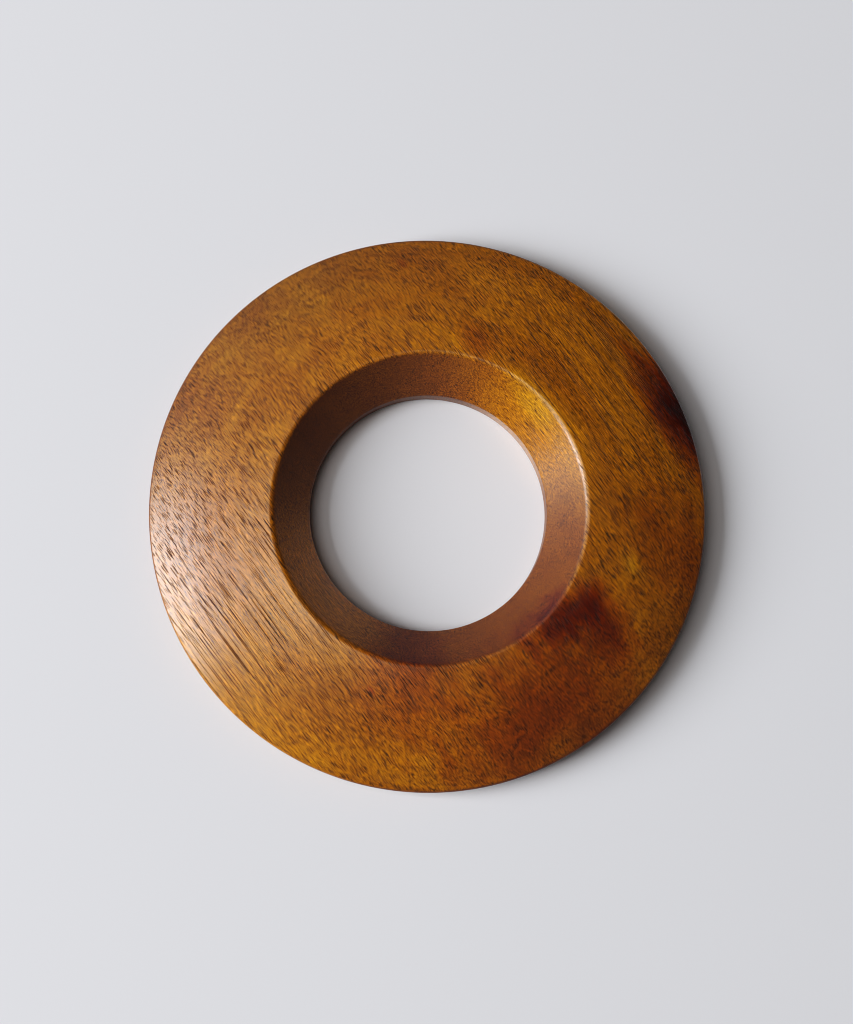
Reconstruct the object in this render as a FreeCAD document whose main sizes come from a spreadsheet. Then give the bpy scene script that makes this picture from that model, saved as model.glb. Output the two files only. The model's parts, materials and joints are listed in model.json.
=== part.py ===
import FreeCAD, Part
import os
import Sketcher

# Turned hardwood ring: one board, turned on the outside, the domed top, the funnel and the bore.
# Millimetres. +Z is up along the turning axis, and the origin is the centre of the flat foot.

SIZES = [
    ("outer_diameter", 110.0, "across the rounded outer edge, the widest place"),
    ("edge_height", 5.4, "height of the widest place above the foot"),
    ("edge_rounding", 0.7, "radius of the outer edge"),
    ("total_height", 12.5, "foot to the corner where the domed top meets the funnel"),
    ("rim_diameter", 61.4, "mouth of the funnel"),
    ("bore_diameter", 47.0, "straight bore below the funnel"),
    ("throat_height", 4.6, "height at which the funnel meets the bore"),
    ("dome_radius", 105.0, "profile radius of the domed top face"),
    ("underside_radius", 45.0, "profile radius of the underside"),
    ("foot_diameter", 92.0, "outside of the flat foot"),
    ("rim_rounding", 1.4, "eased corner round the funnel's mouth"),
    ("throat_rounding", 0.4, "eased corner between funnel and bore"),
    ("bore_chamfer", 0.4, "broken corner at the bottom of the bore"),
    ("foot_rounding", 2.0, "eased corner round the foot"),
]


def make_sheet(doc):
    sheet = doc.addObject("Spreadsheet::Sheet", "Sizes")
    for row, (alias, value, note) in enumerate(SIZES, start=1):
        sheet.set(f"A{row}", alias)
        sheet.set(f"B{row}", str(value))
        sheet.set(f"C{row}", note)
        sheet.setAlias(f"B{row}", alias)
    doc.recompute()
    return sheet


def origin_plane(body, role):
    return next(plane for plane in body.Origin.OriginFeatures if plane.Role == role)


def point(radius, height):
    return FreeCAD.Vector(radius, height, 0)


def shallow_arc(start, end, radius):
    """An arc of the given radius, counter-clockwise from start to end."""
    chord = end - start
    away = FreeCAD.Vector(chord.y, -chord.x, 0).normalize()
    rise = radius - (radius ** 2 - (chord.Length / 2) ** 2) ** 0.5
    return Part.Arc(start, (start + end) / 2 + away * rise, end)


def draw_profile(sketch, sheet):
    """Half section of the ring: x is the radius from the turning axis and y is the height."""
    bore_radius = sheet.bore_diameter / 2
    widest = sheet.outer_diameter / 2
    rounding = sheet.edge_rounding
    foot_inside = point(bore_radius, 0)
    throat = point(bore_radius, sheet.throat_height)
    rim = point(sheet.rim_diameter / 2, sheet.total_height)
    foot_outside = point(sheet.foot_diameter / 2, 0)
    edge_top = point(widest - rounding, sheet.edge_height + rounding)
    edge_tip = point(widest, sheet.edge_height)
    edge_bottom = point(widest - rounding, sheet.edge_height - rounding)

    bore = sketch.addGeometry(Part.LineSegment(foot_inside, throat))
    funnel = sketch.addGeometry(Part.LineSegment(throat, rim))
    dome = sketch.addGeometry(shallow_arc(edge_top, rim, sheet.dome_radius))
    edge = sketch.addGeometry(Part.Arc(edge_bottom, edge_tip, edge_top))
    underside = sketch.addGeometry(shallow_arc(foot_outside, edge_bottom, sheet.underside_radius))
    foot = sketch.addGeometry(Part.LineSegment(foot_outside, foot_inside))

    origin, start, end, centre = (-1, 1), 1, 2, 3
    horizontal_axis = -1
    for rule in (
        ("Coincident", bore, end, funnel, start),
        ("Coincident", funnel, end, dome, end),
        ("Tangent", dome, start, edge, end),
        ("Tangent", edge, start, underside, end),
        ("Coincident", underside, start, foot, start),
        ("Coincident", foot, end, bore, start),
        ("Vertical", bore),
        ("Horizontal", foot),
        ("PointOnObject", foot, start, horizontal_axis),
    ):
        sketch.addConstraint(Sketcher.Constraint(*rule))

    drive(sketch, "bore", ("DistanceX", *origin, bore, end), bore_radius, "Sizes.bore_diameter / 2")
    drive(sketch, "throat", ("DistanceY", *origin, bore, end), sheet.throat_height, "Sizes.throat_height")
    drive(sketch, "rim_out", ("DistanceX", *origin, funnel, end), rim.x, "Sizes.rim_diameter / 2")
    drive(sketch, "rim_up", ("DistanceY", *origin, funnel, end), rim.y, "Sizes.total_height")
    drive(sketch, "edge_out", ("DistanceX", *origin, edge, centre), widest - rounding,
          "Sizes.outer_diameter / 2 - Sizes.edge_rounding")
    drive(sketch, "edge_up", ("DistanceY", *origin, edge, centre), sheet.edge_height, "Sizes.edge_height")
    drive(sketch, "foot_out", ("DistanceX", *origin, foot, start), foot_outside.x, "Sizes.foot_diameter / 2")
    drive(sketch, "edge_radius", ("Radius", edge), rounding, "Sizes.edge_rounding")
    drive(sketch, "dome_radius", ("Radius", dome), sheet.dome_radius, "Sizes.dome_radius")
    drive(sketch, "under_radius", ("Radius", underside), sheet.underside_radius, "Sizes.underside_radius")


def drive(sketch, name, rule, value, expression):
    """Add a dimension to the sketch and bind it to the sheet."""
    index = sketch.addConstraint(Sketcher.Constraint(*rule, value))
    sketch.renameConstraint(index, name)
    sketch.setExpression(f"Constraints.{name}", expression)


def corner(feature, radius, height):
    """Name of the feature's circular edge of this radius at this height."""
    for index, edge in enumerate(feature.Shape.Edges, start=1):
        curve = edge.Curve
        if curve.TypeId != "Part::GeomCircle":
            continue
        if abs(curve.Radius - radius) < 1e-3 and abs(curve.Center.z - height) < 1e-3:
            return f"Edge{index}"
    raise ValueError(f"no corner of radius {radius} at height {height}")


def ease(body, kind, name, base, radius, height, prop, alias):
    """Round or chamfer one corner, with its size bound to the sheet."""
    feature = body.newObject(kind, name)
    feature.Base = (base, [corner(base, radius, height)])
    feature.setExpression(prop, f"Sizes.{alias}")
    body.Document.recompute()
    return feature


def make_ring(doc, sheet):
    body = doc.addObject("PartDesign::Body", "turned_ring")
    body.Label = "turned_ring"
    sketch = body.newObject("Sketcher::SketchObject", "HalfSection")
    sketch.AttachmentSupport = [(origin_plane(body, "XZ_Plane"), "")]
    sketch.MapMode = "FlatFace"
    doc.recompute()
    draw_profile(sketch, sheet)
    doc.recompute()

    turning = body.newObject("PartDesign::Revolution", "Turning")
    turning.Profile = sketch
    turning.ReferenceAxis = (sketch, ["V_Axis"])
    turning.Angle = 360
    doc.recompute()

    bore_radius = sheet.bore_diameter / 2
    rim = ease(body, "PartDesign::Fillet", "RimCorner", turning,
               sheet.rim_diameter / 2, sheet.total_height, "Radius", "rim_rounding")
    throat = ease(body, "PartDesign::Fillet", "ThroatCorner", rim,
                  bore_radius, sheet.throat_height, "Radius", "throat_rounding")
    mouth = ease(body, "PartDesign::Chamfer", "BoreCorner", throat,
                 bore_radius, 0, "Size", "bore_chamfer")
    ease(body, "PartDesign::Fillet", "FootCorner", mouth,
         sheet.foot_diameter / 2, 0, "Radius", "foot_rounding")
    body.Placement = FreeCAD.Placement(FreeCAD.Vector(0, 0, 0), FreeCAD.Rotation())
    doc.recompute()
    return body, sketch


def check(doc, sketch, bodies):
    failed = [item.Name for item in doc.Objects if {"Invalid", "Error"} & set(item.State)]
    if failed:
        raise RuntimeError(f"failed to recompute: {failed}")
    if sketch.solve() != 0 or not sketch.FullyConstrained:
        raise RuntimeError("the half section isn't fully constrained")
    for body in bodies:
        if body.Shape.isNull() or not body.Shape.isValid() or len(body.Shape.Solids) != 1:
            raise RuntimeError(f"{body.Label} isn't one valid solid")


def main():
    doc = FreeCAD.newDocument("TurnedRing")
    sheet = make_sheet(doc)
    ring, sketch = make_ring(doc, sheet)
    check(doc, sketch, [ring])
    os.makedirs("parts", exist_ok=True)
    ring.Shape.exportStep(f"parts/{ring.Label}.step")
    box = ring.Shape.optimalBoundingBox(True, False)
    print(f"{ring.Label}: {box.XLength:.2f} x {box.YLength:.2f} x {box.ZLength:.2f} mm,"
          f" {ring.Shape.Volume / 1000:.1f} cm3")


main()
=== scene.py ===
import json
from math import atan2, cos, pi, radians, sin, sqrt, tan

import bpy
from mathutils import Matrix, Vector


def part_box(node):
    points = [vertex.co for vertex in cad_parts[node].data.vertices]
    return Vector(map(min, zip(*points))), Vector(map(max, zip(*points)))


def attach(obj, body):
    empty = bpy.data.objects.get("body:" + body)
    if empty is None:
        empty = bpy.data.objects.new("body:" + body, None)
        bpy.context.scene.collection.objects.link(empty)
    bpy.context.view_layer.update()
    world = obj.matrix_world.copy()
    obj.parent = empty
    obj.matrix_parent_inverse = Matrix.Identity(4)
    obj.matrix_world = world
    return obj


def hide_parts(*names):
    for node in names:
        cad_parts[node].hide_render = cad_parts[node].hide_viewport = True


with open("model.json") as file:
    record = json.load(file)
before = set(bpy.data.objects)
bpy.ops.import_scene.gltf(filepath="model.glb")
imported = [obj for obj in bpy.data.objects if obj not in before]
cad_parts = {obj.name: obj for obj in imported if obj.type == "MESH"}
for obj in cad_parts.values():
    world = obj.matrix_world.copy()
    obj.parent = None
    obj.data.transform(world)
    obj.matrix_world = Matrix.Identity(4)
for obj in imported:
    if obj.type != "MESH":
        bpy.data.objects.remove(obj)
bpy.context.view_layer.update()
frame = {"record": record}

# One turned hardwood ring. The turning axis is Z and the grain of the board runs along X.
# Lengths are in metres, and the wood's own pattern is worked out in millimetres.

mm = 0.001
_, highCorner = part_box("turned_ring")
boreMount = next(mount for mount in frame["record"]["mounts"] if mount["name"] == "bore")

ringShape = {
    "outerRadius": highCorner.x,
    "boreRadius": boreMount["dims"]["r_mm"] * mm,
    "mouthRadius": 30.7 * mm,        # corner where the top face meets the funnel
    "mouthHeight": 12.5 * mm,
    "mouthRounding": 1.4 * mm,
    "throatHeight": 4.6 * mm,
    "throatRounding": 0.4 * mm,
    "boreChamfer": 0.4 * mm,
    "domeRadius": 105 * mm,
    "edgeHeight": 5.4 * mm,          # widest place, above the foot
    "edgeRounding": 0.7 * mm,
    "undersideRadius": 45 * mm,
    "footRadius": 46 * mm,
    "footRounding": 2.0 * mm,
    "stepsRound": 384,
    "handSanding": 0.02 * mm,        # how far sanding by hand leaves the surface from true
    "sandingLump": 0.07,             # lumps per millimetre, so about 14 mm from one to the next
    "sandingSeed": 7.0,
    # straight pieces along each part of the outline
    "steps": {"bore": 6, "throat": 5, "funnel": 22, "mouth": 14, "dome": 52, "edge": 18,
              "underside": 16, "foot": 6, "base": 14},
}


# The outline of the half section: x is the distance from the axis and y is the height.

def spread(start, end, steps):
    return [start + (end - start) * step / steps for step in range(steps + 1)]


def arc(centre, radius, start, end, steps):
    return [centre + radius * Vector((cos(angle), sin(angle))) for angle in spread(start, end, steps)]


def angleOf(offset):
    return atan2(offset.y, offset.x)


def circleMeet(centreA, radiusA, centreB, radiusB, side):
    # where two circles cross: side 1 is left of the line from A to B, -1 is right
    span = centreB - centreA
    along = (radiusA ** 2 - radiusB ** 2 + span.length_squared) / (2 * span.length)
    across = sqrt(radiusA ** 2 - along ** 2)
    ahead = span.normalized()
    return centreA + ahead * along + Vector((-ahead.y, ahead.x)) * across * side


def easedCorner(before, corner, after, radius, steps):
    # a round in the corner, tangent to both sides, and how far back along them it starts
    back, ahead = (before - corner).normalized(), (after - corner).normalized()
    halfAngle = back.angle(ahead) / 2
    middle = corner + (back + ahead).normalized() * radius / sin(halfAngle)
    setBack = radius / tan(halfAngle)
    start = angleOf(corner + back * setBack - middle)
    sweep = angleOf(corner + ahead * setBack - middle) - start
    sweep = (sweep + pi) % (2 * pi) - pi
    return arc(middle, radius, start, start + sweep, steps), setBack


def ringOutline(shape):
    mouth = Vector((shape["mouthRadius"], shape["mouthHeight"]))
    throat = Vector((shape["boreRadius"], shape["throatHeight"]))
    footOut = Vector((shape["footRadius"], 0))
    footIn = Vector((shape["boreRadius"], 0))
    edgeRadius = shape["edgeRounding"]
    edge = Vector((shape["outerRadius"] - edgeRadius, shape["edgeHeight"]))
    domeRadius, underRadius = shape["domeRadius"], shape["undersideRadius"]
    steps, chamfer = shape["steps"], shape["boreChamfer"]
    dome = circleMeet(mouth, domeRadius, edge, domeRadius - edgeRadius, -1)
    under = circleMeet(footOut, underRadius, edge, underRadius - edgeRadius, 1)

    domeStart, domeEnd = angleOf(mouth - dome), angleOf(edge - dome)
    underStart, underEnd = angleOf(edge - under), angleOf(footOut - under)
    domeAhead = Vector((sin(domeStart), -cos(domeStart)))
    underBack = Vector((-sin(underEnd), cos(underEnd)))
    mouthArc, mouthTrim = easedCorner(throat, mouth, mouth + domeAhead,
                                      shape["mouthRounding"], steps["mouth"])
    footArc, footTrim = easedCorner(footOut + underBack, footOut, footIn,
                                    shape["footRounding"], steps["foot"])
    throatArc, _ = easedCorner(footIn, throat, mouth, shape["throatRounding"], steps["throat"])
    domeStart -= mouthTrim / domeRadius
    underEnd += footTrim / underRadius

    outline = spread(footIn + Vector((0, chamfer)), throatArc[0], steps["bore"])[:-1] + throatArc
    outline += spread(throatArc[-1], mouthArc[0], steps["funnel"])[1:-1] + mouthArc
    outline += arc(dome, domeRadius, domeStart, domeEnd, steps["dome"])[1:]
    outline += arc(edge, edgeRadius, domeEnd, underStart, steps["edge"])[1:]
    outline += arc(under, underRadius, underStart, underEnd, steps["underside"])[1:-1]
    outline += footArc
    return outline + spread(footArc[-1], footIn + Vector((chamfer, 0)), steps["base"])[1:]


# The lathe: it carries the outline round the axis.

def newSocket(tree, name, kind, value=None, output=False):
    socket = tree.interface.new_socket(name, in_out="OUTPUT" if output else "INPUT", socket_type=kind)
    if value is not None:
        socket.default_value = value
    return socket


def addNode(tree, kind, **settings):
    node = tree.nodes.new(kind)
    for name, value in settings.items():
        setattr(node, name, value)
    return node


def feed(tree, socket, source):
    # a socket takes either another socket or a plain value
    if isinstance(source, bpy.types.NodeSocket):
        tree.links.new(source, socket)
    else:
        socket.default_value = source


def maths(tree, operation, *sources):
    node = addNode(tree, "ShaderNodeMath", operation=operation)
    for socket, source in zip(node.inputs, sources):
        feed(tree, socket, source)
    return node.outputs[0]


def vectorMaths(tree, operation, first, second=None, scale=None):
    node = addNode(tree, "ShaderNodeVectorMath", operation=operation)
    feed(tree, node.inputs[0], first)
    if second is not None:
        feed(tree, node.inputs[1], second)
    if scale is not None:
        feed(tree, node.inputs["Scale"], scale)
    return node.outputs[0]


def latheTree():
    tree = bpy.data.node_groups.new("lathe", "GeometryNodeTree")
    newSocket(tree, "Outline", "NodeSocketGeometry")
    newSocket(tree, "Path radius", "NodeSocketFloat", 0.04)
    newSocket(tree, "Steps round", "NodeSocketInt", 64)
    newSocket(tree, "Hand sanding", "NodeSocketFloat", 0.0)
    newSocket(tree, "Sanding lump", "NodeSocketFloat", 1.0)
    newSocket(tree, "Seed", "NodeSocketFloat", 0.0)
    newSocket(tree, "Wood", "NodeSocketMaterial")
    newSocket(tree, "Ring", "NodeSocketGeometry", output=True)
    given = addNode(tree, "NodeGroupInput").outputs
    outline = addNode(tree, "GeometryNodeMeshToCurve")
    feed(tree, outline.inputs["Mesh"], given["Outline"])
    path = addNode(tree, "GeometryNodeCurvePrimitiveCircle", mode="RADIUS")
    feed(tree, path.inputs["Resolution"], given["Steps round"])
    feed(tree, path.inputs["Radius"], given["Path radius"])
    turned = addNode(tree, "GeometryNodeCurveToMesh")
    feed(tree, turned.inputs["Curve"], path.outputs["Curve"])
    feed(tree, turned.inputs["Profile Curve"], outline.outputs["Curve"])

    # sanding by hand leaves the surface a hair's breadth from true
    place = addNode(tree, "GeometryNodeInputPosition").outputs[0]
    waves = addNode(tree, "ShaderNodeTexNoise", noise_dimensions="4D")
    feed(tree, waves.inputs["Vector"], vectorMaths(tree, "SCALE", place, scale=1 / mm))
    feed(tree, waves.inputs["W"], given["Seed"])
    feed(tree, waves.inputs["Scale"], given["Sanding lump"])
    waves.inputs["Detail"].default_value = 1.0
    height = maths(tree, "SUBTRACT", waves.outputs["Fac"], 0.5)
    height = maths(tree, "MULTIPLY", height, given["Hand sanding"])
    facing = addNode(tree, "GeometryNodeInputNormal").outputs[0]
    sanded = addNode(tree, "GeometryNodeSetPosition")
    feed(tree, sanded.inputs["Geometry"], turned.outputs["Mesh"])
    feed(tree, sanded.inputs["Offset"], vectorMaths(tree, "SCALE", facing, scale=height))

    smooth = addNode(tree, "GeometryNodeSetShadeSmooth")
    real = addNode(tree, "GeometryNodeRealizeInstances")
    coated = addNode(tree, "GeometryNodeSetMaterial")
    feed(tree, smooth.inputs["Geometry"], sanded.outputs["Geometry"])
    feed(tree, real.inputs["Geometry"], smooth.outputs["Geometry"])
    feed(tree, coated.inputs["Geometry"], real.outputs["Geometry"])
    feed(tree, coated.inputs["Material"], given["Wood"])
    feed(tree, addNode(tree, "NodeGroupOutput").inputs["Ring"], coated.outputs["Geometry"])
    return tree


def turnRing(shape, wood):
    pathRadius = (shape["outerRadius"] + shape["boreRadius"]) / 2
    outline = ringOutline(shape)
    mesh = bpy.data.meshes.new("outline")
    corners = [(point.x - pathRadius, -point.y, 0) for point in outline]
    sides = [(index, (index + 1) % len(corners)) for index in range(len(corners))]
    mesh.from_pydata(corners, sides, [])
    blank = bpy.data.objects.new("turnedRing", mesh)
    bpy.context.scene.collection.objects.link(blank)
    lathe = blank.modifiers.new("lathe", "NODES")
    lathe.node_group = latheTree()
    wanted = {"Path radius": pathRadius, "Steps round": shape["stepsRound"],
              "Hand sanding": shape["handSanding"], "Sanding lump": shape["sandingLump"],
              "Seed": shape["sandingSeed"], "Wood": wood}
    for item in lathe.node_group.interface.items_tree:
        if item.name in wanted:
            lathe[item.identifier] = wanted[item.name]
    seen = blank.evaluated_get(bpy.context.evaluated_depsgraph_get())
    ring = bpy.data.objects.new("turnedRing_wood", bpy.data.meshes.new_from_object(seen))
    bpy.context.scene.collection.objects.link(ring)
    blank.modifiers.remove(lathe)
    bpy.data.objects.remove(blank)
    return ring


# The wood. Every pattern is cut from one solid block, so it runs on over the corners as in a real board.

woodLook = {
    "tone": 0.405,                   # how light the bare wood is, from 0 to 1
    "poreLean": 0.5,                 # degrees that the pores climb along the board
    "leanWander": 0.8,               # degrees more or less, from band to band
    "widePores": {"spacing": 0.37, "radius": 0.070, "softness": 0.010, "share": 0.92},
    "finePores": {"spacing": 0.23, "radius": 0.048, "softness": 0.010, "share": 0.90},
    "finePoreOffset": (0, 3.1, 7.7), # moves the fine pores off the wide ones, in millimetres
    "finePoreStrength": 0.7,         # how strongly a fine pore shows beside a wide one
    "poreShade": (0.15, 0.12, 0.12),  # how much of the wood's colour is left in a pore
    "poreHeight": 2.2,               # a pore is this many times as tall as wide, like a short row of them
    "poreDepth": 0.05,
    "leastCrowding": 0.65,           # how strongly pores show where they are sparse
    "crowdingEdges": (0.35, 0.65),
    "wallEdges": (0.72, 0.90),       # how level a face is where a steep wall ends and the top begins
    "wallPores": 0.25,               # how much of the pores the polish leaves on a steep wall
    "layerOffset": (0, 0, 4.0),      # which part of the log the layers are cut from, in millimetres
    "deepening": 0.45,               # how much the layers and clouds change the tone
    "lightening": 0.75,              # and how much they change the brightness
    "greenFall": 2.06,               # green and blue fall as these powers of the tone
    "blueFall": 6.5,
    "endShadeShift": 0.05,                # faces towards -X count as a little more end-on, so they are darkened more, as painted shade on the funnel wall
    "endEdges": (0.12, 0.60),        # how far a face turns along the grain as its end grain, and the painted shade with it, comes to show
    "endGrainAndShade": (0.46, 0.40, 0.35),  # how much of its colour the wood keeps where it is cut across: real darker end grain, deepened as painted shade on the funnel's shaded side
    "endPaintedSheen": (0.0, 0.003, 0.018),  # painted reflection: a faint violet sheen of the lit floor and window, added to the end grain's colour
    "roughness": 0.36,
    "endRoughness": 0.58,
    "poreRoughness": 0.80,
    "coat": 1.0,
    "endCoat": 0.35,
    "coatRoughness": 0.27,
    "bumpStrength": 0.6,
    "wallGrit": 1.1,                 # how high the fine grit stands on a steep wall and on the top
    "topGrit": 0.15,
    "fibreRelief": 0.30,
}

# Soft patterns: how long, wide and thick their lumps are in millimetres, a seed, how much fine detail
# they have, and how strongly they show.
patterns = {
    "lean": {"lump": (200, 40, 40), "seed": 3.0, "detail": 1.0, "range": (0.3, 0.7)},
    "wander": {"lump": (60, 25, 25), "seed": 5.0, "detail": 1.0, "strength": 0.9},
    "ripple": {"lump": (14, 5, 5), "seed": 8.0, "detail": 1.0, "strength": 0.05},
    "layers": {"lump": (120, 16, 0.5), "seed": 11.0, "detail": 2.0, "strength": 0.34},
    "clouds": {"lump": (26, 9, 3), "seed": 17.0, "detail": 2.0, "strength": 0.22},
    "mottle": {"lump": (2.4, 6.0, 6.0), "seed": 19.0, "detail": 2.0, "strength": 0.08},
    "fibres": {"lump": (5.0, 0.14, 0.10), "seed": 23.0, "detail": 2.0, "strength": 1.4},
    "flecks": {"lump": (0.9, 0.16, 0.10), "seed": 27.0, "detail": 2.0, "strength": 1.4},
    "ragged": {"lump": (9, 3, 3), "seed": 31.0, "detail": 3.0, "strength": 0.5},
    "crowding": {"lump": (3.0, 5.0, 5.0), "seed": 37.0, "detail": 1.0},
    "grit": {"lump": (0.28, 0.28, 0.28), "seed": 43.0, "detail": 2.0},
}

# The board's own markings, in millimetres along X, along Y, length and width.
# A strength above 0 is darker and redder, and below 0 it is lighter. A patch fades between the edges,
# which are shares of its half length and half width.
patchEdges = (0.1, 1.3)
markings = (
    {"at": (38, 13), "size": (19, 12), "strength": 0.50},
    {"at": (40, 3), "size": (16, 8), "strength": 0.08},
    {"at": (-20, -40), "size": (34, 30), "strength": 0.15},
    {"at": (-50, 2), "size": (18, 56), "strength": -0.13},
    {"at": (52, -8), "size": (8, 15), "strength": -0.35},
    {"at": (17, 52.5), "size": (37, 13), "strength": 0.88},
    {"at": (33, 8), "size": (11, 20), "strength": 0.58},
    {"at": (18, -19), "size": (15, 14), "strength": 0.20},
    {"at": (-21, 27), "size": (9, 6), "strength": 0.18},
    {"at": (37, 36), "size": (34, 20), "strength": 0.25},
    {"at": (46, -6), "size": (34, 44), "strength": 0.40},
    {"at": (27, -24), "size": (28, 22), "strength": 0.25},
    {"at": (33, 25), "size": (8, 5), "strength": -0.20},
    {"at": (-4, 29), "size": (16, 6), "strength": -0.22},
    {"at": (21.6, -30.5), "size": (2.6, 1.4), "strength": 0.35},
    {"at": (-42.7, 25.5), "size": (3.0, 1.8), "strength": 0.25},
)


def remap(tree, value, fromLow, fromHigh, toLow=0.0, toHigh=1.0, smooth=False):
    node = addNode(tree, "ShaderNodeMapRange", interpolation_type="SMOOTHSTEP" if smooth else "LINEAR")
    for name, source in (("Value", value), ("From Min", fromLow), ("From Max", fromHigh),
                         ("To Min", toLow), ("To Max", toHigh)):
        feed(tree, node.inputs[name], source)
    return node.outputs["Result"]


def splitAxes(tree, place):
    node = addNode(tree, "ShaderNodeSeparateXYZ")
    feed(tree, node.inputs[0], place)
    return node.outputs


def joinAxes(tree, *axes):
    node = addNode(tree, "ShaderNodeCombineXYZ")
    for socket, source in zip(node.inputs, axes):
        feed(tree, socket, source)
    return node.outputs[0]


def softNoise(tree, place, name):
    pattern = patterns[name]
    node = addNode(tree, "ShaderNodeTexNoise", noise_dimensions="4D")
    feed(tree, node.inputs["Vector"], vectorMaths(tree, "DIVIDE", place, pattern["lump"]))
    node.inputs["W"].default_value = pattern["seed"]
    node.inputs["Scale"].default_value = 1.0
    node.inputs["Detail"].default_value = pattern["detail"]
    return node.outputs["Fac"]


def centred(tree, value, name):
    # turns a pattern about 0.5 into a change about nothing, as strong as it should show
    offset = maths(tree, "SUBTRACT", value, 0.5)
    return maths(tree, "MULTIPLY", offset, 2 * patterns[name]["strength"])


def poreGroup():
    # Pores are long tubes that run with the grain. Where the surface cuts one at a slant, it shows
    # as a dash.
    tree = bpy.data.node_groups.new("pores", "ShaderNodeTree")
    newSocket(tree, "Place", "NodeSocketVector")
    newSocket(tree, "Spacing", "NodeSocketFloat", 0.6)
    newSocket(tree, "Radius", "NodeSocketFloat", 0.12)
    newSocket(tree, "Softness", "NodeSocketFloat", 0.05)
    newSocket(tree, "Share", "NodeSocketFloat", 0.7)
    newSocket(tree, "Mask", "NodeSocketFloat", output=True)
    scatter = 0.9                    # how far the pores stray from even rows
    narrowest, widest = 0.6, 1.4     # as shares of the radius
    given = addNode(tree, "NodeGroupInput").outputs
    axes = splitAxes(tree, given["Place"])
    section = joinAxes(tree, maths(tree, "DIVIDE", axes[1], given["Spacing"]),
                       maths(tree, "DIVIDE", axes[2], given["Spacing"]))
    cells = addNode(tree, "ShaderNodeTexVoronoi", voronoi_dimensions="2D", feature="F1")
    feed(tree, cells.inputs["Vector"], section)
    cells.inputs["Scale"].default_value = 1.0
    cells.inputs["Randomness"].default_value = scatter
    chance = addNode(tree, "ShaderNodeSeparateColor")
    feed(tree, chance.inputs[0], cells.outputs["Color"])
    away = maths(tree, "MULTIPLY", cells.outputs["Distance"], given["Spacing"])
    radius = remap(tree, chance.outputs[0], 0.0, 1.0, narrowest, widest)
    radius = maths(tree, "MULTIPLY", given["Radius"], radius)
    mask = remap(tree, away, maths(tree, "SUBTRACT", radius, given["Softness"]),
                 maths(tree, "ADD", radius, given["Softness"]), 1.0, 0.0, smooth=True)
    present = maths(tree, "LESS_THAN", chance.outputs[1], given["Share"])
    feed(tree, addNode(tree, "NodeGroupOutput").inputs["Mask"], maths(tree, "MULTIPLY", mask, present))
    return tree


def pores(tree, group, place, values):
    node = addNode(tree, "ShaderNodeGroup", node_tree=group)
    feed(tree, node.inputs["Place"], place)
    for name, value in values.items():
        node.inputs[name.capitalize()].default_value = value
    return node.outputs["Mask"]


def grainPlace(tree, place, look):
    # the same place with the pores running straight along the first axis
    lean = remap(tree, softNoise(tree, place, "lean"), *patterns["lean"]["range"],
                 tan(radians(look["poreLean"] - look["leanWander"])),
                 tan(radians(look["poreLean"] + look["leanWander"])))
    wander = centred(tree, softNoise(tree, place, "wander"), "wander")
    ripple = centred(tree, softNoise(tree, place, "ripple"), "ripple")
    along, across, height = splitAxes(tree, place)
    across = maths(tree, "ADD", across, maths(tree, "ADD", wander, ripple))
    height = maths(tree, "SUBTRACT", height, maths(tree, "MULTIPLY", along, lean))
    return joinAxes(tree, along, across, maths(tree, "DIVIDE", height, look["poreHeight"]))


def addMarkings(tree, place, tone):
    # soft patches with ragged edges
    ragged = centred(tree, softNoise(tree, place, "ragged"), "ragged")
    for mark in markings:
        offset = vectorMaths(tree, "SUBTRACT", place, (*mark["at"], 0))
        offset = vectorMaths(tree, "MULTIPLY", offset, (2 / mark["size"][0], 2 / mark["size"][1], 0))
        reach = addNode(tree, "ShaderNodeVectorMath", operation="LENGTH")
        feed(tree, reach.inputs[0], offset)
        reach = maths(tree, "ADD", reach.outputs["Value"], ragged)
        patch = remap(tree, reach, *patchEdges, mark["strength"], 0.0, smooth=True)
        tone = maths(tree, "MULTIPLY", tone, maths(tree, "SUBTRACT", 1.0, patch))
    return tone


def woodColour(tree, tone, look):
    # wood deepens as stain does: red falls with the tone, green faster, blue faster still
    node = addNode(tree, "ShaderNodeCombineColor")
    feed(tree, node.inputs[0], tone)
    feed(tree, node.inputs[1], maths(tree, "POWER", tone, look["greenFall"]))
    feed(tree, node.inputs[2], maths(tree, "POWER", tone, look["blueFall"]))
    return node.outputs[0]


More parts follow.
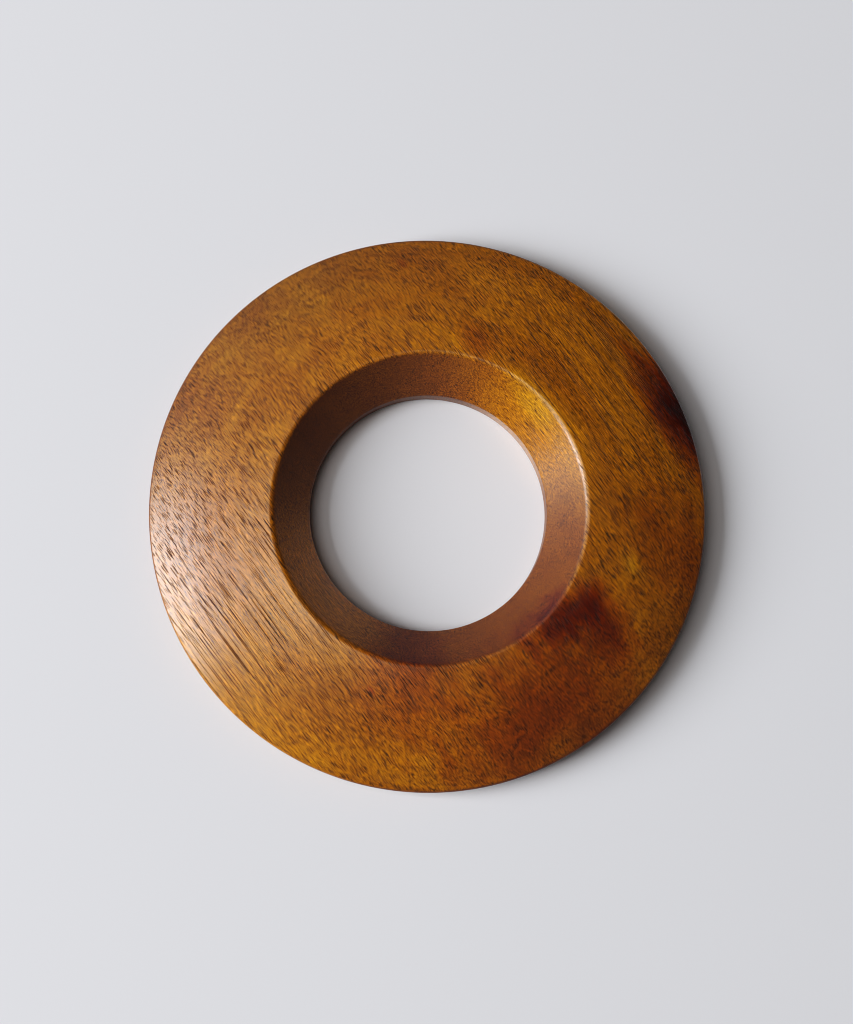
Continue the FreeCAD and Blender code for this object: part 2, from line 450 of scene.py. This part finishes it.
def woodMaterial(look):
    material = bpy.data.materials.new("polishedHardwood")
    material.use_nodes = True
    tree = material.node_tree
    tree.nodes.clear()
    coordinates = addNode(tree, "ShaderNodeTexCoord").outputs["Object"]
    place = vectorMaths(tree, "SCALE", coordinates, scale=1 / mm)
    grain = grainPlace(tree, place, look)

    # polish hides most of the pores on a steep wall, and a face turned along the grain is end grain,
    # which is darkened partly as painted shade
    normal = addNode(tree, "ShaderNodeNewGeometry").outputs["Normal"]
    alongGrain, _, facingUp = splitAxes(tree, normal)
    flatness = maths(tree, "ABSOLUTE", facingUp)
    openness = remap(tree, flatness, *look["wallEdges"], look["wallPores"], 1.0)
    endOnAndShade = maths(tree, "ABSOLUTE", maths(tree, "SUBTRACT", alongGrain, look["endShadeShift"]))
    endOnAndShade = remap(tree, endOnAndShade, *look["endEdges"], 0.0, 1.0, smooth=True)

    # growth layers lie nearly flat in the board, so they ring the dome as contour lines do
    layers = softNoise(tree, vectorMaths(tree, "ADD", grain, look["layerOffset"]), "layers")
    clouds = softNoise(tree, grain, "clouds")
    mottle = softNoise(tree, place, "mottle")
    fibres = softNoise(tree, grain, "fibres")
    flecks = softNoise(tree, grain, "flecks")
    layers = maths(tree, "MULTIPLY", centred(tree, layers, "layers"), openness)
    shift = maths(tree, "ADD", layers, centred(tree, clouds, "clouds"))
    shift = maths(tree, "ADD", shift, centred(tree, mottle, "mottle"))
    deepening = maths(tree, "MULTIPLY", shift, look["deepening"])
    tone = maths(tree, "MULTIPLY", look["tone"], maths(tree, "ADD", 1.0, deepening))
    tone = addMarkings(tree, place, tone)
    streaks = maths(tree, "ADD", centred(tree, fibres, "fibres"), centred(tree, flecks, "flecks"))
    brightness = maths(tree, "ADD", maths(tree, "MULTIPLY", shift, look["lightening"]), streaks)
    bare = woodColour(tree, tone, look)
    bare = vectorMaths(tree, "SCALE", bare, scale=maths(tree, "ADD", 1.0, brightness))
    # end grain keeps less of its colour: partly the real darker end grain, partly painted shade on the
    # funnel's shaded wall
    loss = vectorMaths(tree, "SCALE", tuple(1 - kept for kept in look["endGrainAndShade"]), scale=endOnAndShade)
    bare = vectorMaths(tree, "MULTIPLY", bare, vectorMaths(tree, "SUBTRACT", (1, 1, 1), loss))
    # painted reflection: a faint violet sheen is added to the colour where the grain is cut across
    bare = vectorMaths(tree, "ADD", bare, vectorMaths(tree, "SCALE", look["endPaintedSheen"], scale=endOnAndShade))

    # pores crowd together in some places
    group = poreGroup()
    wide = pores(tree, group, grain, look["widePores"])
    beside = vectorMaths(tree, "ADD", grain, look["finePoreOffset"])
    fine = pores(tree, group, beside, look["finePores"])
    crowding = remap(tree, softNoise(tree, place, "crowding"), *look["crowdingEdges"],
                     look["leastCrowding"], 1.0)
    pits = maths(tree, "MAXIMUM", wide, maths(tree, "MULTIPLY", fine, look["finePoreStrength"]))
    pits = maths(tree, "MULTIPLY", maths(tree, "MULTIPLY", pits, openness), crowding)
    loss = vectorMaths(tree, "SCALE", tuple(1 - kept for kept in look["poreShade"]), scale=pits)
    colour = vectorMaths(tree, "MULTIPLY", bare, vectorMaths(tree, "SUBTRACT", (1, 1, 1), loss))

    surface = addNode(tree, "ShaderNodeBsdfPrincipled")
    feed(tree, surface.inputs["Base Color"], colour)
    endRoughness = remap(tree, endOnAndShade, 0.0, 1.0, look["roughness"], look["endRoughness"])
    poreRoughness = remap(tree, pits, 0.0, 1.0, look["roughness"], look["poreRoughness"])
    feed(tree, surface.inputs["Roughness"], maths(tree, "MAXIMUM", endRoughness, poreRoughness))
    coat = remap(tree, endOnAndShade, 0.0, 1.0, look["coat"], look["endCoat"])
    coat = maths(tree, "MULTIPLY", coat, maths(tree, "SUBTRACT", 1.0, pits))
    feed(tree, surface.inputs["Coat Weight"], coat)
    surface.inputs["Coat Roughness"].default_value = look["coatRoughness"]
    bump = addNode(tree, "ShaderNodeBump")
    bump.inputs["Strength"].default_value = look["bumpStrength"]
    bump.inputs["Distance"].default_value = look["poreDepth"] * mm
    grit = softNoise(tree, place, "grit")
    gritHeight = remap(tree, flatness, *look["wallEdges"], look["wallGrit"], look["topGrit"])
    relief = maths(tree, "MULTIPLY", grit, gritHeight)
    relief = maths(tree, "ADD", relief, maths(tree, "MULTIPLY", fibres, look["fibreRelief"]))
    feed(tree, bump.inputs["Height"], maths(tree, "SUBTRACT", relief, pits))
    feed(tree, surface.inputs["Normal"], bump.outputs["Normal"])
    feed(tree, surface.inputs["Coat Normal"], bump.outputs["Normal"])
    feed(tree, addNode(tree, "ShaderNodeOutputMaterial").inputs["Surface"], surface.outputs["BSDF"])
    return material


# Table, window and camera.

studio = {
    "lights": {
        # side and height are degrees from X and above the table, then metres and watts
        "window": {"side": 239.0, "height": 32.5, "away": 2.5, "width": 1.25, "tall": 1.75,
                   "power": 82.0, "colour": (1.0, 0.985, 0.97)},
        "ceiling": {"side": 239.0, "height": 72.0, "away": 1.3, "width": 0.5, "tall": 0.7,
                    "power": 3.8, "colour": (1.0, 0.93, 0.86)},
    },
    "roomLight": 0.042,
    "roomColour": (1.0, 0.90, 0.80),
    "table": (0.775, 0.805, 0.87),
    "tableSize": 3.0,
    "tableGap": 0.05 * mm,           # keeps the table just clear of the foot
    "tableRoughness": 0.9,
    "tableShine": 0.2,
}


def layTable(values):
    half = values["tableSize"] / 2
    mesh = bpy.data.meshes.new("table")
    corners = [(x * half, y * half, -values["tableGap"]) for x, y in ((-1, -1), (1, -1), (1, 1), (-1, 1))]
    mesh.from_pydata(corners, [], [range(len(corners))])
    table = bpy.data.objects.new("table", mesh)
    bpy.context.scene.collection.objects.link(table)
    paint = bpy.data.materials.new("paleTable")
    paint.use_nodes = True
    surface = paint.node_tree.nodes["Principled BSDF"]
    surface.inputs["Base Color"].default_value = (*values["table"], 1.0)
    surface.inputs["Roughness"].default_value = values["tableRoughness"]
    surface.inputs["Specular IOR Level"].default_value = values["tableShine"]
    mesh.materials.append(paint)


def direction(side, height):
    flat = cos(radians(height))
    return Vector((flat * cos(radians(side)), flat * sin(radians(side)), sin(radians(height))))


def hangLight(name, values):
    light = bpy.data.lights.new(name, "AREA")
    light.shape = "RECTANGLE"
    light.size, light.size_y = values["width"], values["tall"]
    light.energy = values["power"]
    light.color = values["colour"]
    panel = bpy.data.objects.new(name, light)
    towards = direction(values["side"], values["height"])
    panel.location = towards * values["away"]
    panel.rotation_euler = towards.to_track_quat("Z", "Y").to_euler()
    bpy.context.scene.collection.objects.link(panel)


def lightRoom(values):
    room = bpy.data.worlds.new("room")
    room.use_nodes = True
    backdrop = room.node_tree.nodes["Background"]
    backdrop.inputs["Color"].default_value = (*values["roomColour"], 1.0)
    backdrop.inputs["Strength"].default_value = values["roomLight"]
    bpy.context.scene.world = room


viewpoint = {
    "distance": 395.6 * mm,
    "tilt": 7.8,                     # degrees off the turning axis
    "side": 303.0,                   # where the camera leans to, degrees from X
    "up": 143.0,                     # what is up in the picture, degrees from X
    "aim": (-0.29 * mm, -0.31 * mm, 5.0 * mm),
    "lens": 70.3,
    "nearest": 0.01,
}


def placeCamera(values):
    data = bpy.data.cameras.new("camera")
    data.lens = values["lens"]
    data.clip_start = values["nearest"]
    camera = bpy.data.objects.new("camera", data)
    back = direction(values["side"], 90 - values["tilt"])
    right = direction(values["up"], 0).cross(back).normalized()
    upward = back.cross(right)
    camera.matrix_world = Matrix((right, upward, back)).transposed().to_4x4()
    camera.location = Vector(values["aim"]) + back * values["distance"]
    bpy.context.scene.collection.objects.link(camera)
    bpy.context.scene.camera = camera


pictureTones = {
    "blur": 1.0,                     # how far each point of the picture spreads
    "shadowCurve": ((0.03, 0.015), (0.10, 0.070), (0.20, 0.178), (0.35, 0.345)),
}


def developPicture(values):
    # plain colours with slightly deeper shadows, as a camera gives
    settings = bpy.context.scene.view_settings
    settings.view_transform = "Standard"
    settings.use_curve_mapping = True
    curve = settings.curve_mapping.curves[3]    # the one that works on all colours together
    for light, shown in values["shadowCurve"]:
        curve.points.new(light, shown)
    for point in curve.points:
        point.handle_type = "AUTO_CLAMPED"
    settings.curve_mapping.update()
    bpy.context.scene.cycles.filter_width = values["blur"]


print("turning the ring")
hardwood = woodMaterial(woodLook)
ring = turnRing(ringShape, hardwood)
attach(ring, "root")
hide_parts("turned_ring")

print("setting up the table, window and camera")
layTable(studio)
for name, values in studio["lights"].items():
    hangLight(name, values)
lightRoom(studio)
placeCamera(viewpoint)
developPicture(pictureTones)
